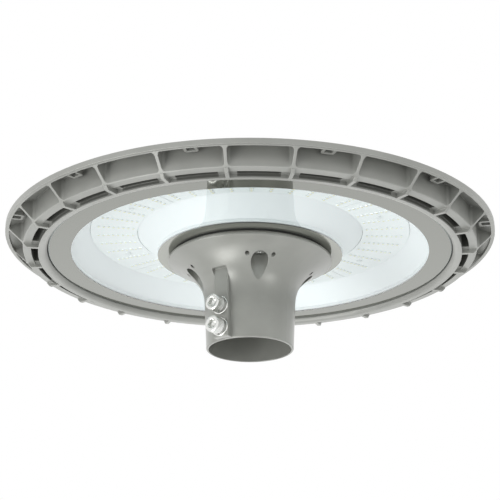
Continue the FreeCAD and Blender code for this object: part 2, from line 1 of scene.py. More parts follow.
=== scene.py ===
import math
import bpy
import bmesh
import numpy as np
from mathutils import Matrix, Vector


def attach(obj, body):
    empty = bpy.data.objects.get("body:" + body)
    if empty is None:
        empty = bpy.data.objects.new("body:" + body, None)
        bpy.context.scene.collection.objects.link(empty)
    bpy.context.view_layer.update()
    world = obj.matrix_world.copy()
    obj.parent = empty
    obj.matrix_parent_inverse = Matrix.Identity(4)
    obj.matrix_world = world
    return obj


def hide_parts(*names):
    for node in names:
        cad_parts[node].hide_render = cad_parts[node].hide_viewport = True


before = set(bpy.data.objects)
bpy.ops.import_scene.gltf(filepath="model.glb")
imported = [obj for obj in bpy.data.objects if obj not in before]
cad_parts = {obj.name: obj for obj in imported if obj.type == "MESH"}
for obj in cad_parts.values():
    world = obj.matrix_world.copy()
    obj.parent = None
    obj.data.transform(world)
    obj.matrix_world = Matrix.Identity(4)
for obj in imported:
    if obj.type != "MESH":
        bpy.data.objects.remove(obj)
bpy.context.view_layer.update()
mm = 0.001
print("frame loaded:", len(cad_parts), "nodes")


# Small helpers: colours, material nodes, meshes

def hexLinear(code):
    # sRGB hex to linear light, channel by channel
    channels = [int(code[i:i + 2], 16) / 255 for i in (1, 3, 5)]
    linear = [c / 12.92 if c <= 0.04045 else ((c + 0.055) / 1.055) ** 2.4 for c in channels]
    return (*linear, 1.0)


def grey(value):
    return (value, value, value, 1.0)


def addNode(tree, kind, settings=None, links=None, stops=None):
    # adds one node: a setting is a property or a socket, by name or number, a link is (node, output), and
    # stops are a colour ramp's (place, colour)
    node = tree.nodes.new(kind)
    for key, value in (settings or {}).items():
        if isinstance(key, str) and hasattr(node, key):
            setattr(node, key, value)
        else:
            node.inputs[key].default_value = value
    for key, (source, output) in (links or {}).items():
        tree.links.new(source.outputs[output], node.inputs[key])
    if stops:
        elements = node.color_ramp.elements
        while len(elements) < len(stops):
            elements.new(0.5)
        for element, (place, colour) in zip(elements, stops):
            element.position = place
            element.color = colour
    return node


def newMaterial(name):
    material = bpy.data.materials.new(name)
    material.use_nodes = True
    material.node_tree.nodes.clear()
    return material, material.node_tree


def makePiece(name, parts, material, replaced=None, sharp=35):
    # parts are closed shells, each a pair: points in mm, and a list of face arrays; edges sharper than
    # the angle in degrees stay hard
    points, faces, start = [], [], 0
    for place, sides in parts:
        points.append(place)
        for side in sides:
            faces += (np.asarray(side) + start).tolist()
        start += len(place)
    mesh = bpy.data.meshes.new(name)
    mesh.from_pydata((np.concatenate(points) * mm).tolist(), [], faces)
    shell = bmesh.new()
    shell.from_mesh(mesh)
    bmesh.ops.recalc_face_normals(shell, faces=shell.faces)
    shell.to_mesh(mesh)
    shell.free()
    mesh.shade_smooth()
    mesh.set_sharp_from_angle(angle=math.radians(sharp))
    mesh.materials.append(material)
    piece = bpy.data.objects.new(name, mesh)
    bpy.context.scene.collection.objects.link(piece)
    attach(piece, "root")
    if replaced:
        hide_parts(replaced)
    print("made", name, "with", len(mesh.polygons), "faces")


# Camera at the photograph's angle: below the rim, looking up

cameraSettings = {
    "place": (0.8899, -1.2558, -0.4797),  # metres, from the fit of the rim, the ribs and the collar
    "look": (-0.5407, 0.7630, 0.3541),
    "lens": 119.96,
    "sensor": 36.0,
    "clipEnd": 50.0,
}


def makeCamera(settings):
    data = bpy.data.cameras.new("photoCamera")
    data.lens = settings["lens"]
    data.sensor_width = settings["sensor"]
    data.clip_end = settings["clipEnd"]
    camera = bpy.data.objects.new("photoCamera", data)
    camera.location = settings["place"]
    camera.rotation_euler = Vector(settings["look"]).to_track_quat("-Z", "Y").to_euler()
    bpy.context.scene.collection.objects.link(camera)
    bpy.context.scene.camera = camera


makeCamera(cameraSettings)
print("camera made")


# Stage: white room, pale floor, soft lamps

stageSettings = {
    "floorLevel": -3.0,
    "floorRadius": 14.0,
    "floorSides": 64,
    "floorGrey": 0.8,
    "floorGlow": 0.42,     # what the floor adds where it is seen, straight or in a mirror
    "roomLight": 0.65,     # what matt surfaces receive from all round
    "roomColour": "#fdfefe",
    "lamps": [  # place, size, watts
        ((-0.9, -2.4, -1.0), 1.6, 23.5),     # key from the front left
        ((2.6, -0.4, -0.6), 1.2, 7.0),       # fill from the right
        ((0.3, 0.6, 2.6), 2.2, 15.0),        # from above, on the cover
        ((-0.85, -0.95, -2.55), 1.3, 16.5),  # from below, into the trough and on the flare
        ((-1.6, 2.3, -1.0), 1.9, 4.4),       # behind, where the glass mirrors it towards the camera
    ],
    "aim": (0.0, 0.0, 0.08),
}


def makeWorld(settings):
    world = bpy.data.worlds.new("whiteRoom")
    world.use_nodes = True
    tree = world.node_tree
    tree.nodes.clear()
    path = addNode(tree, "ShaderNodeLightPath")
    seen = addNode(tree, "ShaderNodeMath", {"operation": "MAXIMUM"},
                   {0: (path, "Is Camera Ray"), 1: (path, "Is Glossy Ray")})
    seenAll = addNode(tree, "ShaderNodeMath", {"operation": "MAXIMUM"},
                      {0: (seen, 0), 1: (path, "Is Transmission Ray")})
    matt = addNode(tree, "ShaderNodeBackground",
                   {"Color": hexLinear(settings["roomColour"]), "Strength": settings["roomLight"]})
    white = addNode(tree, "ShaderNodeBackground", {"Color": grey(1.0), "Strength": 1.0})
    mix = addNode(tree, "ShaderNodeMixShader", {}, {"Fac": (seenAll, 0), 1: (matt, 0), 2: (white, 0)})
    addNode(tree, "ShaderNodeOutputWorld", {}, {"Surface": (mix, 0)})
    bpy.context.scene.world = world


def makeFloor(settings):
    # a disc as one flat face: radius times cosine and sine of the turn
    turn = np.linspace(0, 2 * np.pi, settings["floorSides"], endpoint=False)
    rim = np.stack([np.cos(turn), np.sin(turn), 0 * turn], 1) * settings["floorRadius"]
    mesh = bpy.data.meshes.new("floor")
    mesh.from_pydata((rim + [0, 0, settings["floorLevel"]]).tolist(), [], [list(range(len(turn)))])
    floor = bpy.data.objects.new("floor", mesh)
    bpy.context.scene.collection.objects.link(floor)
    material, tree = newMaterial("pale floor")
    path = addNode(tree, "ShaderNodeLightPath")
    seen = addNode(tree, "ShaderNodeMath", {"operation": "MAXIMUM"},
                   {0: (path, "Is Camera Ray"), 1: (path, "Is Glossy Ray")})
    matt = addNode(tree, "ShaderNodeBsdfDiffuse", {"Color": grey(settings["floorGrey"])})
    glow = addNode(tree, "ShaderNodeEmission", {"Color": grey(1.0), "Strength": settings["floorGlow"]})
    lit = addNode(tree, "ShaderNodeAddShader", {}, {0: (matt, 0), 1: (glow, 0)})
    mix = addNode(tree, "ShaderNodeMixShader", {}, {"Fac": (seen, 0), 1: (matt, 0), 2: (lit, 0)})
    addNode(tree, "ShaderNodeOutputMaterial", {}, {"Surface": (mix, 0)})
    mesh.materials.append(material)


def makeLamps(settings):
    aim = Vector(settings["aim"])
    for number, (place, size, watts) in enumerate(settings["lamps"], 1):
        data = bpy.data.lights.new("softbox%d" % number, "AREA")
        data.shape = "DISK"
        data.size = size
        data.energy = watts
        lamp = bpy.data.objects.new("softbox%d" % number, data)
        lamp.location = place
        lamp.rotation_euler = (aim - Vector(place)).to_track_quat("-Z", "Y").to_euler()
        lamp.visible_camera = False
        bpy.context.scene.collection.objects.link(lamp)


makeWorld(stageSettings)
makeFloor(stageSettings)
makeLamps(stageSettings)
bpy.context.scene.view_settings.view_transform = "Standard"
print("stage made")


# Materials of the real finishes

commonSettings = {             # what the finishes share
    "spread": (0.3, 0.7),      # where a noise passes from the dark to the light shade
    "cloudDetail": 4.0,
    "peelDetail": 2.0,         # orange peel of a powder coat
    "mottleDetail": 3.0,       # mottle of the other finishes
    "mottleStrength": 0.3,
    "edgeSamples": 4,
    "edgeTurn": (0.99, 0.75),  # cosine of the turn at an edge, where the painted edge highlight starts and is full
    "cornerSamples": 6,
    "paintIor": 1.5,
    "coatRoughness": 0.3,
    "bareRoughness": 0.35,
}


def paintVentShade(tree, coords, colour, vents):
    # the narrow slots' walls get a painted shade, a dark colour for the shade deep in the slots: between
    # two radii, between two levels, and within half a slot's turn of each bay's middle
    parts = addNode(tree, "ShaderNodeSeparateXYZ", {}, {"Vector": (coords, "Object")})
    flat = addNode(tree, "ShaderNodeCombineXYZ", {}, {"X": (parts, "X"), "Y": (parts, "Y")})
    radius = addNode(tree, "ShaderNodeVectorMath", {"operation": "LENGTH"}, {"Vector": (flat, "Vector")})
    turn = addNode(tree, "ShaderNodeMath", {"operation": "ARCTAN2"}, {0: (parts, "X"), 1: (parts, "Y")})
    bay, slot = math.radians(vents["bay"]), math.radians(vents["slot"])
    inBay = addNode(tree, "ShaderNodeMath", {"operation": "WRAP", 1: bay, 2: 0.0}, {0: (turn, 0)})
    masks = []
    for source, low, high in (((radius, "Value"), vents["inner"] * mm, vents["outer"] * mm),
                              ((parts, "Z"), vents["from"] * mm, vents["to"] * mm),
                              ((inBay, 0), (bay - slot) / 2, (bay + slot) / 2)):
        masks.append(addNode(tree, "ShaderNodeMath", {
            "operation": "COMPARE", 1: (low + high) / 2, 2: (high - low) / 2}, {0: source}))
    both = addNode(tree, "ShaderNodeMath", {"operation": "MULTIPLY"}, {0: (masks[0], 0), 1: (masks[1], 0)})
    share = addNode(tree, "ShaderNodeMath", {"operation": "MULTIPLY"}, {0: (both, 0), 1: (masks[2], 0)})
    return addNode(tree, "ShaderNodeMix", {"data_type": "RGBA", 7: hexLinear(vents["colour"])},
                   {0: (share, 0), 6: (colour, 2)})


def castPaint(name, settings):
    # Polyester powder coat over a die casting: satin, with a fine orange peel and faint clouding; its paler
    # edges are a painted highlight, where the powder also runs thin, and its darker corners are painted
    # shade
    material, tree = newMaterial(name)
    coords = addNode(tree, "ShaderNodeTexCoord")
    geometry = addNode(tree, "ShaderNodeNewGeometry")
    cloud = addNode(tree, "ShaderNodeTexNoise", {"Scale": 1 / (settings["cloudSize"] * mm),
                                                 "Detail": commonSettings["cloudDetail"]},
                    {"Vector": (coords, "Object")})
    stops = zip(commonSettings["spread"], (hexLinear(settings["dark"]), hexLinear(settings["light"])))
    colour = addNode(tree, "ShaderNodeValToRGB", {}, {"Fac": (cloud, "Fac")}, list(stops))
    soft = addNode(tree, "ShaderNodeBevel", {"samples": commonSettings["edgeSamples"],
                                             "Radius": settings["edge"] * mm})
    turned = addNode(tree, "ShaderNodeVectorMath", {"operation": "DOT_PRODUCT"},
                     {0: (soft, "Normal"), 1: (geometry, "Normal")})
    begin, full = commonSettings["edgeTurn"]
    # paler edges: a painted highlight where the surface turns at an edge
    edgeHighlightShare = addNode(tree, "ShaderNodeMapRange", {
        "From Min": begin, "From Max": full, "To Max": settings["edgeHighlight"]}, {"Value": (turned, "Value")})
    edgeHighlighted = addNode(tree, "ShaderNodeMix", {"data_type": "RGBA", 7: hexLinear(settings["edgeHighlightColour"])},
                    {0: (edgeHighlightShare, "Result"), 6: (colour, "Color")})
    # darker corners: painted shade from an occlusion node, multiplied into the colour
    corner = addNode(tree, "ShaderNodeAmbientOcclusion", {"samples": commonSettings["cornerSamples"],
                                                          "Distance": settings["cornerSize"] * mm})
    paintedCornerShade = addNode(tree, "ShaderNodeMapRange", {"To Min": settings["cornerShade"], "To Max": 1.0},
                    {"Value": (corner, "AO")})
    shaded = addNode(tree, "ShaderNodeMix", {"data_type": "RGBA", "blend_type": "MULTIPLY", 0: 1.0},
                     {6: (edgeHighlighted, 2), 7: (paintedCornerShade, "Result")})
    # painted shade on the vent slots' walls
    if "vents" in settings:
        shaded = paintVentShade(tree, coords, shaded, settings["vents"])
    grain = addNode(tree, "ShaderNodeTexNoise", {"Scale": 1 / (settings["grainSize"] * mm),
                                                 "Detail": commonSettings["peelDetail"]},
                    {"Vector": (coords, "Object")})
    bump = addNode(tree, "ShaderNodeBump", {"Strength": settings["grainStrength"],
                                            "Distance": settings["grainDepth"] * mm},
                   {"Height": (grain, "Fac"), "Normal": (soft, "Normal")})
    paint = addNode(tree, "ShaderNodeBsdfPrincipled",
                    {"Roughness": settings["roughness"], "IOR": commonSettings["paintIor"],
                     "Metallic": settings["metallic"], "Coat Weight": settings["coat"],
                     "Coat Roughness": commonSettings["coatRoughness"]},
                    {"Base Color": (shaded, 2), "Normal": (bump, "Normal")})
    surface = paint
    if "bareBelow" in settings:  # the mouth is turned to bare metal after the painting
        parts = addNode(tree, "ShaderNodeSeparateXYZ", {}, {"Vector": (coords, "Object")})
        bare = addNode(tree, "ShaderNodeMath", {"operation": "LESS_THAN", 1: settings["bareBelow"] * mm},
                       {0: (parts, "Z")})
        metal = addNode(tree, "ShaderNodeBsdfPrincipled",
                        {"Base Color": hexLinear(settings["bareColour"]), "Metallic": 1.0,
                         "Roughness": commonSettings["bareRoughness"]},
                        {"Normal": (soft, "Normal")})
        surface = addNode(tree, "ShaderNodeMixShader", {}, {"Fac": (bare, 0), 1: (paint, 0), 2: (metal, 0)})
    addNode(tree, "ShaderNodeOutputMaterial", {}, {"Surface": (surface, 0)})
    return material


# sizes are in mm; the vents lie between two radii and two levels, and their bay and slot are in degrees
castGrey = castPaint("grey powder coat on aluminium", {
    "dark": "#a0a19c", "light": "#aaaba6", "cloudSize": 40,
    "grainSize": 0.9, "grainStrength": 0.35, "grainDepth": 0.12,
    # the edge colour and its share paint a highlight on the edges
    "edge": 0.9, "edgeHighlightColour": "#d6d7d2", "edgeHighlight": 0.8,
    # the corner values paint shade into corners and hollows
    "cornerSize": 16, "cornerShade": 0.66,
    "roughness": 0.42, "metallic": 0.25, "coat": 0.1,
    # the vents' colour is a painted shade on the slots' walls
    "vents": {"inner": 207.3, "outer": 214.5, "from": 93.3, "to": 113.0, "bay": 15.0, "slot": 10.5,
              "colour": "#696a65"}})
collarGrey = castPaint("grey powder coat on the collar", {
    "dark": "#93948e", "light": "#9d9e98", "cloudSize": 30,
    "grainSize": 0.8, "grainStrength": 0.4, "grainDepth": 0.12,
    # the edge colour and its share paint a highlight on the edges
    "edge": 1.2, "edgeHighlightColour": "#b9bab5", "edgeHighlight": 0.5,
    # the corner values paint shade into corners and hollows
    "cornerSize": 9, "cornerShade": 0.8,
    "roughness": 0.36, "metallic": 0.3, "coat": 0.75,
    "bareBelow": 0.12, "bareColour": "#999a96"})


def plainFinish(name, settings):
    # One finish with a fine mottle in its colour and roughness, and a fine bump
    material, tree = newMaterial(name)
    coords = addNode(tree, "ShaderNodeTexCoord")
    grain = addNode(tree, "ShaderNodeTexNoise", {"Scale": 1 / (settings["grainSize"] * mm),
                                                 "Detail": commonSettings["mottleDetail"]},
                    {"Vector": (coords, "Object")})
    stops = zip(commonSettings["spread"], (hexLinear(settings["dark"]), hexLinear(settings["light"])))
    colour = addNode(tree, "ShaderNodeValToRGB", {}, {"Fac": (grain, "Fac")}, list(stops))
    low, high = settings["roughness"]
    rough = addNode(tree, "ShaderNodeMapRange", {"To Min": low, "To Max": high}, {"Value": (grain, "Fac")})
    bump = addNode(tree, "ShaderNodeBump", {"Strength": commonSettings["mottleStrength"],
                                            "Distance": settings["depth"] * mm},
                   {"Height": (grain, "Fac")})
    shader = addNode(tree, "ShaderNodeBsdfPrincipled",
                     {"IOR": settings.get("ior", 1.5), "Metallic": settings.get("metallic", 0.0)},
                     {"Base Color": (colour, "Color"), "Roughness": (rough, "Result"),
                      "Normal": (bump, "Normal")})
    addNode(tree, "ShaderNodeOutputMaterial", {}, {"Surface": (shader, 0)})
    return material


finishes = {  # grain size and depth in mm
    # matt and slightly chalky
    "darkRubber": plainFinish("black EPDM rubber", {
        "dark": "#232422", "light": "#2c2d2b", "grainSize": 0.6, "roughness": (0.7, 0.85), "depth": 0.05}),
    # smooth and a little waxy
    "silicone": plainFinish("grey silicone bond", {
        "dark": "#55564f", "light": "#5e5f58", "grainSize": 2.0, "roughness": (0.4, 0.5), "depth": 0.05,
        "ior": 1.41}),
    # baked white enamel on sheet, even and half matt
    "whiteSheet": plainFinish("white enamelled reflector sheet", {
        "dark": "#f8fafb", "light": "#fbfcfd", "grainSize": 0.8, "roughness": (0.35, 0.45), "depth": 0.01}),
    # fine turning marks give it an even satin shine
    "stainless": plainFinish("turned stainless steel", {
        "dark": "#c2c3c0", "light": "#d5d6d3", "grainSize": 0.5, "roughness": (0.22, 0.32), "depth": 0.01,
        "metallic": 1.0}),
    # bright plating, nearly a mirror, with a faint haze
    "brightZinc": plainFinish("bright zinc plated steel", {
        "dark": "#dfe0dd", "light": "#edeeeb", "grainSize": 0.7, "roughness": (0.12, 0.22), "depth": 0.008,
        "metallic": 1.0}),
    # spring steel under thin plating, darker and duller
    "springSteel": plainFinish("zinc plated spring steel", {
        "dark": "#9a9b97", "light": "#b0b1ad", "grainSize": 0.6, "roughness": (0.35, 0.5), "depth": 0.01,
        "metallic": 1.0}),
    # zinc flowers a few millimetres wide
    "galvanised": plainFinish("galvanised sheet", {
        "dark": "#a9acad", "light": "#bdc0c1", "grainSize": 6.0, "roughness": (0.3, 0.45), "depth": 0.01,
        "metallic": 1.0}),
    # silvery and silky
    "anodised": plainFinish("clear anodised aluminium", {
        "dark": "#cfd1d2", "light": "#d8dadb", "grainSize": 0.7, "roughness": (0.35, 0.42), "depth": 0.01,
        "metallic": 0.9}),
    # warm off-white moulding
    "creamPlastic": plainFinish("cream polyamide", {
        "dark": "#dedbcd", "light": "#e4e1d4", "grainSize": 0.8, "roughness": (0.45, 0.55), "depth": 0.02}),
    # spark-eroded mould grain
    "blackNylon": plainFinish("black moulded nylon", {
        "dark": "#262628", "light": "#2e2e30", "grainSize": 0.5, "roughness": (0.45, 0.6), "depth": 0.02}),
    # yellow metal, freshly turned
    "brass": plainFinish("turned brass", {
        "dark": "#c2a35c", "light": "#cfb26c", "grainSize": 0.6, "roughness": (0.25, 0.32), "depth": 0.01,
        "metallic": 1.0}),
    # white lacquer over copper, glossy enough to show the lamps softly
    "solderMask": plainFinish("white solder mask", {
        "dark": "#f5f8f8", "light": "#f9fbfb", "grainSize": 1.5, "roughness": (0.3, 0.4), "depth": 0.01}),
    # phosphor in clear silicone over the chip, pale yellow while it is off
    "phosphor": plainFinish("phosphor in silicone", {
        "dark": "#e9dfac", "light": "#f3ecca", "grainSize": 0.4, "roughness": (0.45, 0.55), "depth": 0.005,
        "ior": 1.41}),
    # tin solder, pale and frosted
    "solder": plainFinish("tin solder", {
        "dark": "#c2c3c1", "light": "#d2d3d1", "grainSize": 0.3, "roughness": (0.5, 0.6), "depth": 0.01,
        "metallic": 1.0}),
    # white moulded nylon, a little cloudy
    "whiteNylon": plainFinish("white moulded nylon", {
        "dark": "#eceeee", "light": "#f3f5f5", "grainSize": 0.5, "roughness": (0.4, 0.5), "depth": 0.02,
        "ior": 1.53}),
    # closed-cell foam, matt and soft white
    "foam": plainFinish("white polyethylene foam", {
        "dark": "#eef1f2", "light": "#f6f8f8", "grainSize": 0.5, "roughness": (0.7, 0.85), "depth": 0.05}),
}


# Tempered glass: clear in the light zone, grey ceramic print on its borders

glassSettings = {
    "printOuter": 175.7,   # radius in mm where the outer border starts
    "printInner": 90.9,    # radius in mm where the inner border ends
    "groundFrom": 197.1,   # radius in mm where the ground edge starts
    "printLevel": 98.0,    # mm; the print lies on the face below this
    "printColour": "#50524b",
    # the inner border is the same print in a lighter tone, a painted light for the light that reaches it
    "innerPrintPaintedLight": "#898b83",
    "printShine": "#f2f4ea",
    "groundColour": "#c4cac8",
    "tint": "#fcfefe",
    "ior": 1.4,
    "printIor": 2.2,       # the fired print mirrors more than the bare glass
    "groundIor": 1.5,
    "paneRoughness": 0.02,
    "printRoughness": 0.03,
    "groundRoughness": 0.5,
}


def makeGlassMaterial(settings):
    material, tree = newMaterial("tempered glass with printed borders")
    coords = addNode(tree, "ShaderNodeTexCoord")
    parts = addNode(tree, "ShaderNodeSeparateXYZ", {}, {"Vector": (coords, "Object")})
    flat = addNode(tree, "ShaderNodeCombineXYZ", {}, {"X": (parts, "X"), "Y": (parts, "Y")})
    radius = addNode(tree, "ShaderNodeVectorMath", {"operation": "LENGTH"}, {"Vector": (flat, "Vector")})
    outer = addNode(tree, "ShaderNodeMath", {"operation": "GREATER_THAN", 1: settings["printOuter"] * mm},
                    {0: (radius, "Value")})
    inner = addNode(tree, "ShaderNodeMath", {"operation": "LESS_THAN", 1: settings["printInner"] * mm},
                    {0: (radius, "Value")})
    rim = addNode(tree, "ShaderNodeMath", {"operation": "GREATER_THAN", 1: settings["groundFrom"] * mm},
                  {0: (radius, "Value")})
    border = addNode(tree, "ShaderNodeMath", {"operation": "MAXIMUM"}, {0: (outer, 0), 1: (inner, 0)})
    below = addNode(tree, "ShaderNodeMath", {"operation": "LESS_THAN", 1: settings["printLevel"] * mm},
                    {0: (parts, "Z")})
    printed = addNode(tree, "ShaderNodeMath", {"operation": "MULTIPLY"}, {0: (border, 0), 1: (below, 0)})
    # the inner border takes the lighter tone of the same print, a painted light
    printWithPaintedLight = addNode(tree, "ShaderNodeMix", {"data_type": "RGBA", 6: hexLinear(settings["printColour"]),
                                            7: hexLinear(settings["innerPrintPaintedLight"])}, {0: (inner, 0)})
    ceramic = addNode(tree, "ShaderNodeBsdfPrincipled", {
        "Roughness": settings["printRoughness"], "IOR": settings["printIor"],
        "Specular Tint": hexLinear(settings["printShine"])}, {"Base Color": (printWithPaintedLight, 2)})
    ground = addNode(tree, "ShaderNodeBsdfPrincipled", {
        "Base Color": hexLinear(settings["groundColour"]), "Roughness": settings["groundRoughness"],
        "IOR": settings["groundIor"]})
    # what is seen through the pane is bent, while the light that it lets in goes straight through
    straight = addNode(tree, "ShaderNodeBsdfTransparent", {"Color": hexLinear(settings["tint"])})
    bent = addNode(tree, "ShaderNodeBsdfRefraction", {
        "Color": hexLinear(settings["tint"]), "Roughness": 0.0, "IOR": settings["ior"]})
    path = addNode(tree, "ShaderNodeLightPath")
    lighting = addNode(tree, "ShaderNodeMath", {"operation": "MAXIMUM"},
                       {0: (path, "Is Shadow Ray"), 1: (path, "Is Diffuse Ray")})
    clear = addNode(tree, "ShaderNodeMixShader", {}, {"Fac": (lighting, 0), 1: (bent, 0), 2: (straight, 0)})
    mirror = addNode(tree, "ShaderNodeBsdfGlossy", {
        "Color": grey(1.0), "Roughness": settings["paneRoughness"]})
    fresnel = addNode(tree, "ShaderNodeFresnel", {"IOR": settings["ior"]})
    side = addNode(tree, "ShaderNodeNewGeometry")
    outside = addNode(tree, "ShaderNodeMath", {"operation": "SUBTRACT", 0: 1.0}, {1: (side, "Backfacing")})
    shine = addNode(tree, "ShaderNodeMath", {"operation": "MULTIPLY"},
                    {0: (fresnel, "Fac"), 1: (outside, 0)})
    pane = addNode(tree, "ShaderNodeMixShader", {}, {"Fac": (shine, 0), 1: (clear, 0), 2: (mirror, 0)})
    both = addNode(tree, "ShaderNodeMixShader", {}, {"Fac": (printed, 0), 1: (pane, 0), 2: (ceramic, 0)})
    whole = addNode(tree, "ShaderNodeMixShader", {}, {"Fac": (rim, 0), 1: (both, 0), 2: (ground, 0)})
    addNode(tree, "ShaderNodeOutputMaterial", {}, {"Surface": (whole, 0)})
    return material


printedGlass = makeGlassMaterial(glassSettings)

nodeFinish = {
    castGrey: ["lower_housing", "top_cover"],
    collarGrey: ["pole_collar"],
    printedGlass: ["lens_glass"],
    finishes["darkRubber"]: ["cover_gasket", "collar_gasket"],
    finishes["silicone"]: ["outer_glass_seal", "inner_glass_seal"],
    finishes["whiteSheet"]: ["outer_reflector", "inner_reflector"],
    finishes["stainless"]: ["cover_screws", "collar_screws", "collar_washers", "tray_screws",
                            "driver_screws"],
    finishes["whiteNylon"]: ["reflector_screws", "board_screws"],
    finishes["brightZinc"]: ["clamp_bolts", "flat_washers"],
    finishes["springSteel"]: ["spring_washers"],
    finishes["galvanised"]: ["driver_tray"],
    finishes["anodised"]: ["driver"],
    finishes["creamPlastic"]: ["terminal_block"],
    finishes["blackNylon"]: ["surge_protector", "cable_gland", "gland_nut", "breather_valve"],
    finishes["brass"]: ["earth_screw"],
    finishes["solderMask"]: ["led_board_1", "led_board_2", "led_board_3", "led_board_4"],
}
for finish, names in nodeFinish.items():
    for nodeName in names:
        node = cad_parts[nodeName]
        node.data.materials.clear()
        node.data.materials.append(finish)
print("materials assigned")


# Surfaces worked out with numpy, in mm

def ringGrid(rings, loop=False):
    # quads between each ring of points and the next, and back to the first ring where it is a loop
    index = np.arange(rings.shape[0] * rings.shape[1]).reshape(rings.shape[:2])
    following = np.roll(index, -1, 0)
    if not loop:
        index, following = index[:-1], following[:-1]
    quads = np.stack([index, np.roll(index, -1, 1), np.roll(following, -1, 1), following], -1)
    return quads.reshape(-1, 4)


def spindle(rings, firstPole, lastPole):
    # rings closed by a fan of triangles to a pole at each end
    turns = rings.shape[1]
    count = rings.shape[0] * turns
    here = np.arange(turns)
    beside = np.roll(here, -1)
    fans = [np.stack([beside, here, np.full(turns, count)], 1),
            np.stack([here + count - turns, beside + count - turns, np.full(turns, count + 1)], 1)]
    points = np.concatenate([rings.reshape(-1, 3), [firstPole, lastPole]])
    return points, [ringGrid(rings)] + fans


def placed(points, origin, across, along, outwards):
    # local (x, y, height) to the part's frame by its three axes
    return np.asarray(origin) + points @ np.array([across, along, outwards], float)


def polar(radius, azimuth, level):
    # the part's azimuth runs from -Y towards +X
    angle = math.radians(azimuth)
    return np.array([radius * math.sin(angle), -radius * math.cos(angle), level])


# Socket head screws: clamp bolts with knurled heads, the collar's screws and the cover's screws.
# In mm: head, key and shank are radii, the head bears on the seat, and the circle is where the screws stand

clampSettings = {
    "head": 8.0, "height": 10.0, "key": 4.0, "keyDepth": 5.0, "shank": 5.0, "length": 11.5,
    "teeth": 44, "groove": 0.045, "round": 0.9, "turns": 264,
    "levels": (10.3, 32.0), "seat": -52.5,
}
collarScrewSettings = {
    "head": 6.5, "height": 5.0, "key": 2.5, "keyDepth": 2.5, "shank": 4.0, "length": 21.6,
    "teeth": 0, "groove": 0.0, "round": 0.6, "turns": 96,
    "count": 4, "circle": 54.0, "first": 45.0, "seat": 86.4,
}
coverScrewSettings = {
    "head": 4.25, "height": 3.0, "key": 1.5, "keyDepth": 1.7, "shank": 2.5, "length": 8.0,
    "teeth": 0, "groove": 0.0, "round": 0.5, "turns": 72,
    "count": 8, "circle": 209.0, "first": 22.5, "seat": 121.5,
}


def socketScrew(s):
    # a ring's radius at each turn: its outline radius, times 1 / cos(turn folded to 60 degrees less 30) for
    # the socket's hexagon, less the groove depth times |sin(half the teeth times the turn)| for the knurl
    top, floor = s["height"], s["height"] - s["keyDepth"]
    head, key, shank, edge = s["head"], s["key"], s["shank"], s["round"]
    outline = np.array([  # radius, height, share of hexagon, share of knurl
        (key * 0.5, floor - 0.55, 0.3, 0),             # drill cone in the socket's floor
        (key * 0.96, floor, 1, 0),
        (key, floor + 0.2, 1, 0),
        (key, top - 0.55, 1, 0),                       # socket wall
        (key * 1.04, top - 0.35, 0.8, 0),
        (key * 1.19, top - 0.05, 0, 0),                # countersink
        (key * 1.24, top, 0, 0),
        (head - edge * 1.4, top, 0, 0),                # rounded crown
        (head - edge, top - edge * 0.06, 0, 0),
        (head - edge * 0.5, top - edge * 0.3, 0, 0),
        (head - edge * 0.15, top - edge * 0.75, 0, 0),
        (head, top - edge * 1.3, 0, 1),                # side of the head, with the knurl
        (head, edge * 1.1, 0, 1),
        (head - edge * 0.15, edge * 0.6, 0, 0),
        (head - edge * 0.5, 0.0, 0, 0),                # bearing face
        (shank + 0.35, 0.0, 0, 0),
        (shank, -0.35, 0, 0),                          # shank and its chamfer
        (shank, -s["length"] + 1.0, 0, 0),
        (shank - 1.0, -s["length"], 0, 0),
    ])
    turn = np.linspace(0, 2 * np.pi, s["turns"], endpoint=False)
    hexagon = 1 / np.cos(turn % (np.pi / 3) - np.pi / 6)
    knurl = np.abs(np.sin(s["teeth"] * turn / 2))
    radius = outline[:, :1] * (1 + outline[:, 2:3] * (hexagon - 1))
    radius = radius * (1 - outline[:, 3:] * s["groove"] * knurl)
    rings = np.stack([radius * np.cos(turn), radius * np.sin(turn), outline[:, 1:2] + 0 * turn], -1)
    return spindle(rings, (0, 0, floor - 0.9), (0, 0, -s["length"]))


def makeScrews(name, s, places, axes, finish, node):
    points, faces = socketScrew(s)
    shells = [(placed(points, place, *axes), faces) for place in places]
    makePiece(name, shells, finishes[finish], node)


# local x, y and height as the part's axes, for what looks along -Y, down and up
facing = {
    "front": ((1, 0, 0), (0, 0, 1), (0, -1, 0)),
    "down": ((1, 0, 0), (0, -1, 0), (0, 0, -1)),
    "up": ((1, 0, 0), (0, 1, 0), (0, 0, 1)),
}
clampPlaces = [(0, clampSettings["seat"], level) for level in clampSettings["levels"]]
makeScrews("clampScrews", clampSettings, clampPlaces, facing["front"], "brightZinc",
           "clamp_bolts")
for name, s, axes, node in (("collarScrewSet", collarScrewSettings, facing["down"], "collar_screws"),
                            ("coverScrewSet", coverScrewSettings, facing["up"], "cover_screws")):
    places = [polar(s["circle"], s["first"] + 360 / s["count"] * number, s["seat"])
              for number in range(s["count"])]
    makeScrews(name, s, places, axes, "stainless", node)


# Washers of the clamp bolts: stamped flat washers and split spring washers

washerSettings = {
    "bore": 5.2, "flatOuter": 9.0, "flatHeight": 2.0, "flatRounds": (0.15, 0.55, 0.3, 0.15),
    "springOuter": 8.0, "springHeight": 2.3, "springRounds": (0.35, 0.35, 0.35, 0.35),
    "springGap": 14.0,   # degrees
    "springLift": 0.2,   # mm over a whole turn
    "springSlant": 0.3,  # lean of a split face, mm sideways at the outer edge per mm of height
    "turns": 120, "face": -48.0,
}


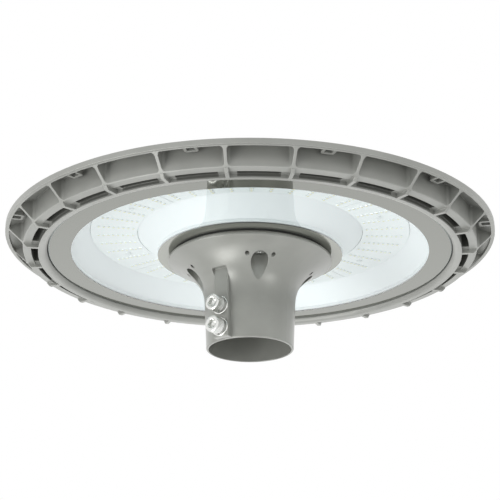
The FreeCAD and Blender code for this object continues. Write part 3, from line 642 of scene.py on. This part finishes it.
def roundedLoop(inner, outer, high, rounds, steps=5):
    # a rectangle whose corners are quarter circles: a corner's middle plus its radius times (cos, sin)
    quarter = np.linspace(-np.pi / 2, 0, steps)
    corners = []
    rectangle = zip((outer, outer, inner, inner), (0, high, high, 0), rounds)
    for number, (radius, level, curve) in enumerate(rectangle):
        inwards = -1 if number < 2 else 1
        upwards = 1 if number in (0, 3) else -1
        angle = quarter + number * np.pi / 2
        corners.append(np.stack([radius + curve * (inwards + np.cos(angle)),
                                 level + curve * (upwards + np.sin(angle))], 1))
    return np.concatenate(corners)


def turnedLoop(loop, turns, low=0.0):
    # the loop turned about the axis: its radius times (cos, sin) of the turn, at its own level over low
    turn = np.linspace(0, 2 * np.pi, turns, endpoint=False)
    radius, level = loop[:, :1], low + loop[:, 1:]
    rings = np.stack([radius * np.cos(turn), radius * np.sin(turn), level + 0 * turn], -1)
    return rings.reshape(-1, 3), [ringGrid(rings, True)]


def flatWasher(s):
    # a rectangle with stamped edges, turned about the axis
    loop = roundedLoop(s["bore"], s["flatOuter"], s["flatHeight"], s["flatRounds"])
    return turnedLoop(loop, s["turns"])


def springWasher(s):
    # the loop carried round a helix: its height grows with the turn, and its turn leans with the height
    loop = roundedLoop(s["bore"], s["springOuter"], s["springHeight"], s["springRounds"])
    gap = math.radians(s["springGap"]) / 2
    turn = np.linspace(gap, 2 * np.pi - gap, s["turns"])[:, None] - np.pi / 2
    leaned = turn + s["springSlant"] * (loop[:, 1] - s["springHeight"] / 2) / s["springOuter"]
    level = loop[:, 1] + s["springLift"] * (turn + np.pi / 2) / (2 * np.pi)
    rings = np.stack([loop[:, 0] * np.cos(leaned), loop[:, 0] * np.sin(leaned), level], -1)
    count, around = rings[..., 0].size, len(loop)
    ends = [[list(range(around))], [list(range(count - around, count))]]
    return rings.reshape(-1, 3), [ringGrid(rings)] + ends


for name, shape, lift, finish, node in (
        ("flatRings", flatWasher, 0.0, "brightZinc", "flat_washers"),
        ("springRings", springWasher, washerSettings["flatHeight"], "springSteel", "spring_washers")):
    points, faces = shape(washerSettings)
    shells = [(placed(points, (0, washerSettings["face"] - lift, level), *facing["front"]), faces)
              for level in clampSettings["levels"]]
    makePiece(name, shells, finishes[finish], node)


# Foam strips between the glass and the two reflectors' lips, which keep the light in the trough

stripSettings = {
    "radii": {"innerStrip": (88.95, 91.3), "outerStrip": (175.7, 178.0)},
    "low": 100.0, "height": 3.0, "rounds": (0.3, 0.3, 0.3, 0.3), "turns": 240,
}
for name, (inner, outer) in stripSettings["radii"].items():
    loop = roundedLoop(inner, outer, stripSettings["height"], stripSettings["rounds"])
    shell = turnedLoop(loop, stripSettings["turns"], stripSettings["low"])
    makePiece(name, [shell], finishes["foam"])


# LED packages: a phosphor window on each, and solder fillets at its two sides

ledSettings = {
    "rows": 40, "perRow": 8, "firstRadius": 116.0, "pitch": 4.85,
    "face": 120.2, "board": 121.0,          # levels of the package's face and of the board
    "half": 1.5,                            # half the width of a package
    "window": 1.22, "crown": 0.09, "windowTurns": 12,
    "domeRadii": (1.0, 1.0, 0.8, 0.45),     # share of the window's radius at each ring of its dome
    "domeRises": (-0.2, 0.25, 0.75, 0.95),  # share of the crown; the first ring is sunk into the package
    "filletWide": 2.3, "filletRun": 0.5, "filletRise": 0.45, "filletTaper": 0.9,
}


def ledGrid(s, template):
    # each template point (radial, sideways, level) goes to every package at once: package radius plus
    # radial along its ray, sideways across it, at its own level
    azimuth = np.radians(np.repeat(np.arange(s["rows"]) * 360 / s["rows"], s["perRow"]))
    radius = np.tile(s["firstRadius"] + s["pitch"] * np.arange(s["perRow"]), s["rows"])
    ray = np.stack([np.sin(azimuth), -np.cos(azimuth), 0 * azimuth], 1)
    across = np.stack([np.cos(azimuth), np.sin(azimuth), 0 * azimuth], 1)
    out = (radius[:, None] + template[:, 0])[..., None] * ray[:, None]
    out += template[:, 1, None] * across[:, None]
    out[..., 2] = template[:, 2]
    return out


def copies(faces, count, size):
    # the same faces on each copy, moved on by the template's number of points
    faces = np.asarray(faces)
    return (faces[None] + np.arange(count)[:, None, None] * size).reshape(-1, faces.shape[1])


def makeWindows(s):
    # a low dome of rings, each at its share of the window's radius and of the crown's height
    turn = np.linspace(0, 2 * np.pi, s["windowTurns"], endpoint=False)
    radius = s["window"] * np.array(s["domeRadii"])[:, None]
    level = s["face"] - s["crown"] * np.array(s["domeRises"])
    rings = np.stack([radius * np.cos(turn), radius * np.sin(turn), level[:, None] + 0 * turn], -1)
    points, sides = spindle(rings, (0, 0, level[0]), (0, 0, s["face"] - s["crown"]))
    grid = ledGrid(s, points)
    faces = [copies(side, len(grid), len(points)) for side in sides]
    makePiece("ledWindows", [(grid.reshape(-1, 3), faces)], finishes["phosphor"])


def makeFillets(s):
    # a wedge at each side of the row: its run lies on the board, its rise stands on the package
    wide, run, rise, half = s["filletWide"] / 2, s["filletRun"], s["filletRise"], s["half"]
    tip = wide * s["filletTaper"]
    wedge = np.array([(-wide, half, 0), (-tip, half + run, 0), (-wide, half, rise),
                      (wide, half, 0), (tip, half + run, 0), (wide, half, rise)], float)
    sides = [[(0, 1, 2), (5, 4, 3)], [(0, 3, 4, 1), (1, 4, 5, 2), (2, 5, 3, 0)]]
    parts = []
    for side in (1, -1):
        points = wedge * (side, side, 1)
        points[:, 2] = s["board"] - points[:, 2]
        grid = ledGrid(s, points)
        parts.append((grid.reshape(-1, 3), [copies(group, len(grid), len(points)) for group in sides]))
    makePiece("ledSolder", parts, finishes["solder"])


makeWindows(ledSettings)
makeFillets(ledSettings)
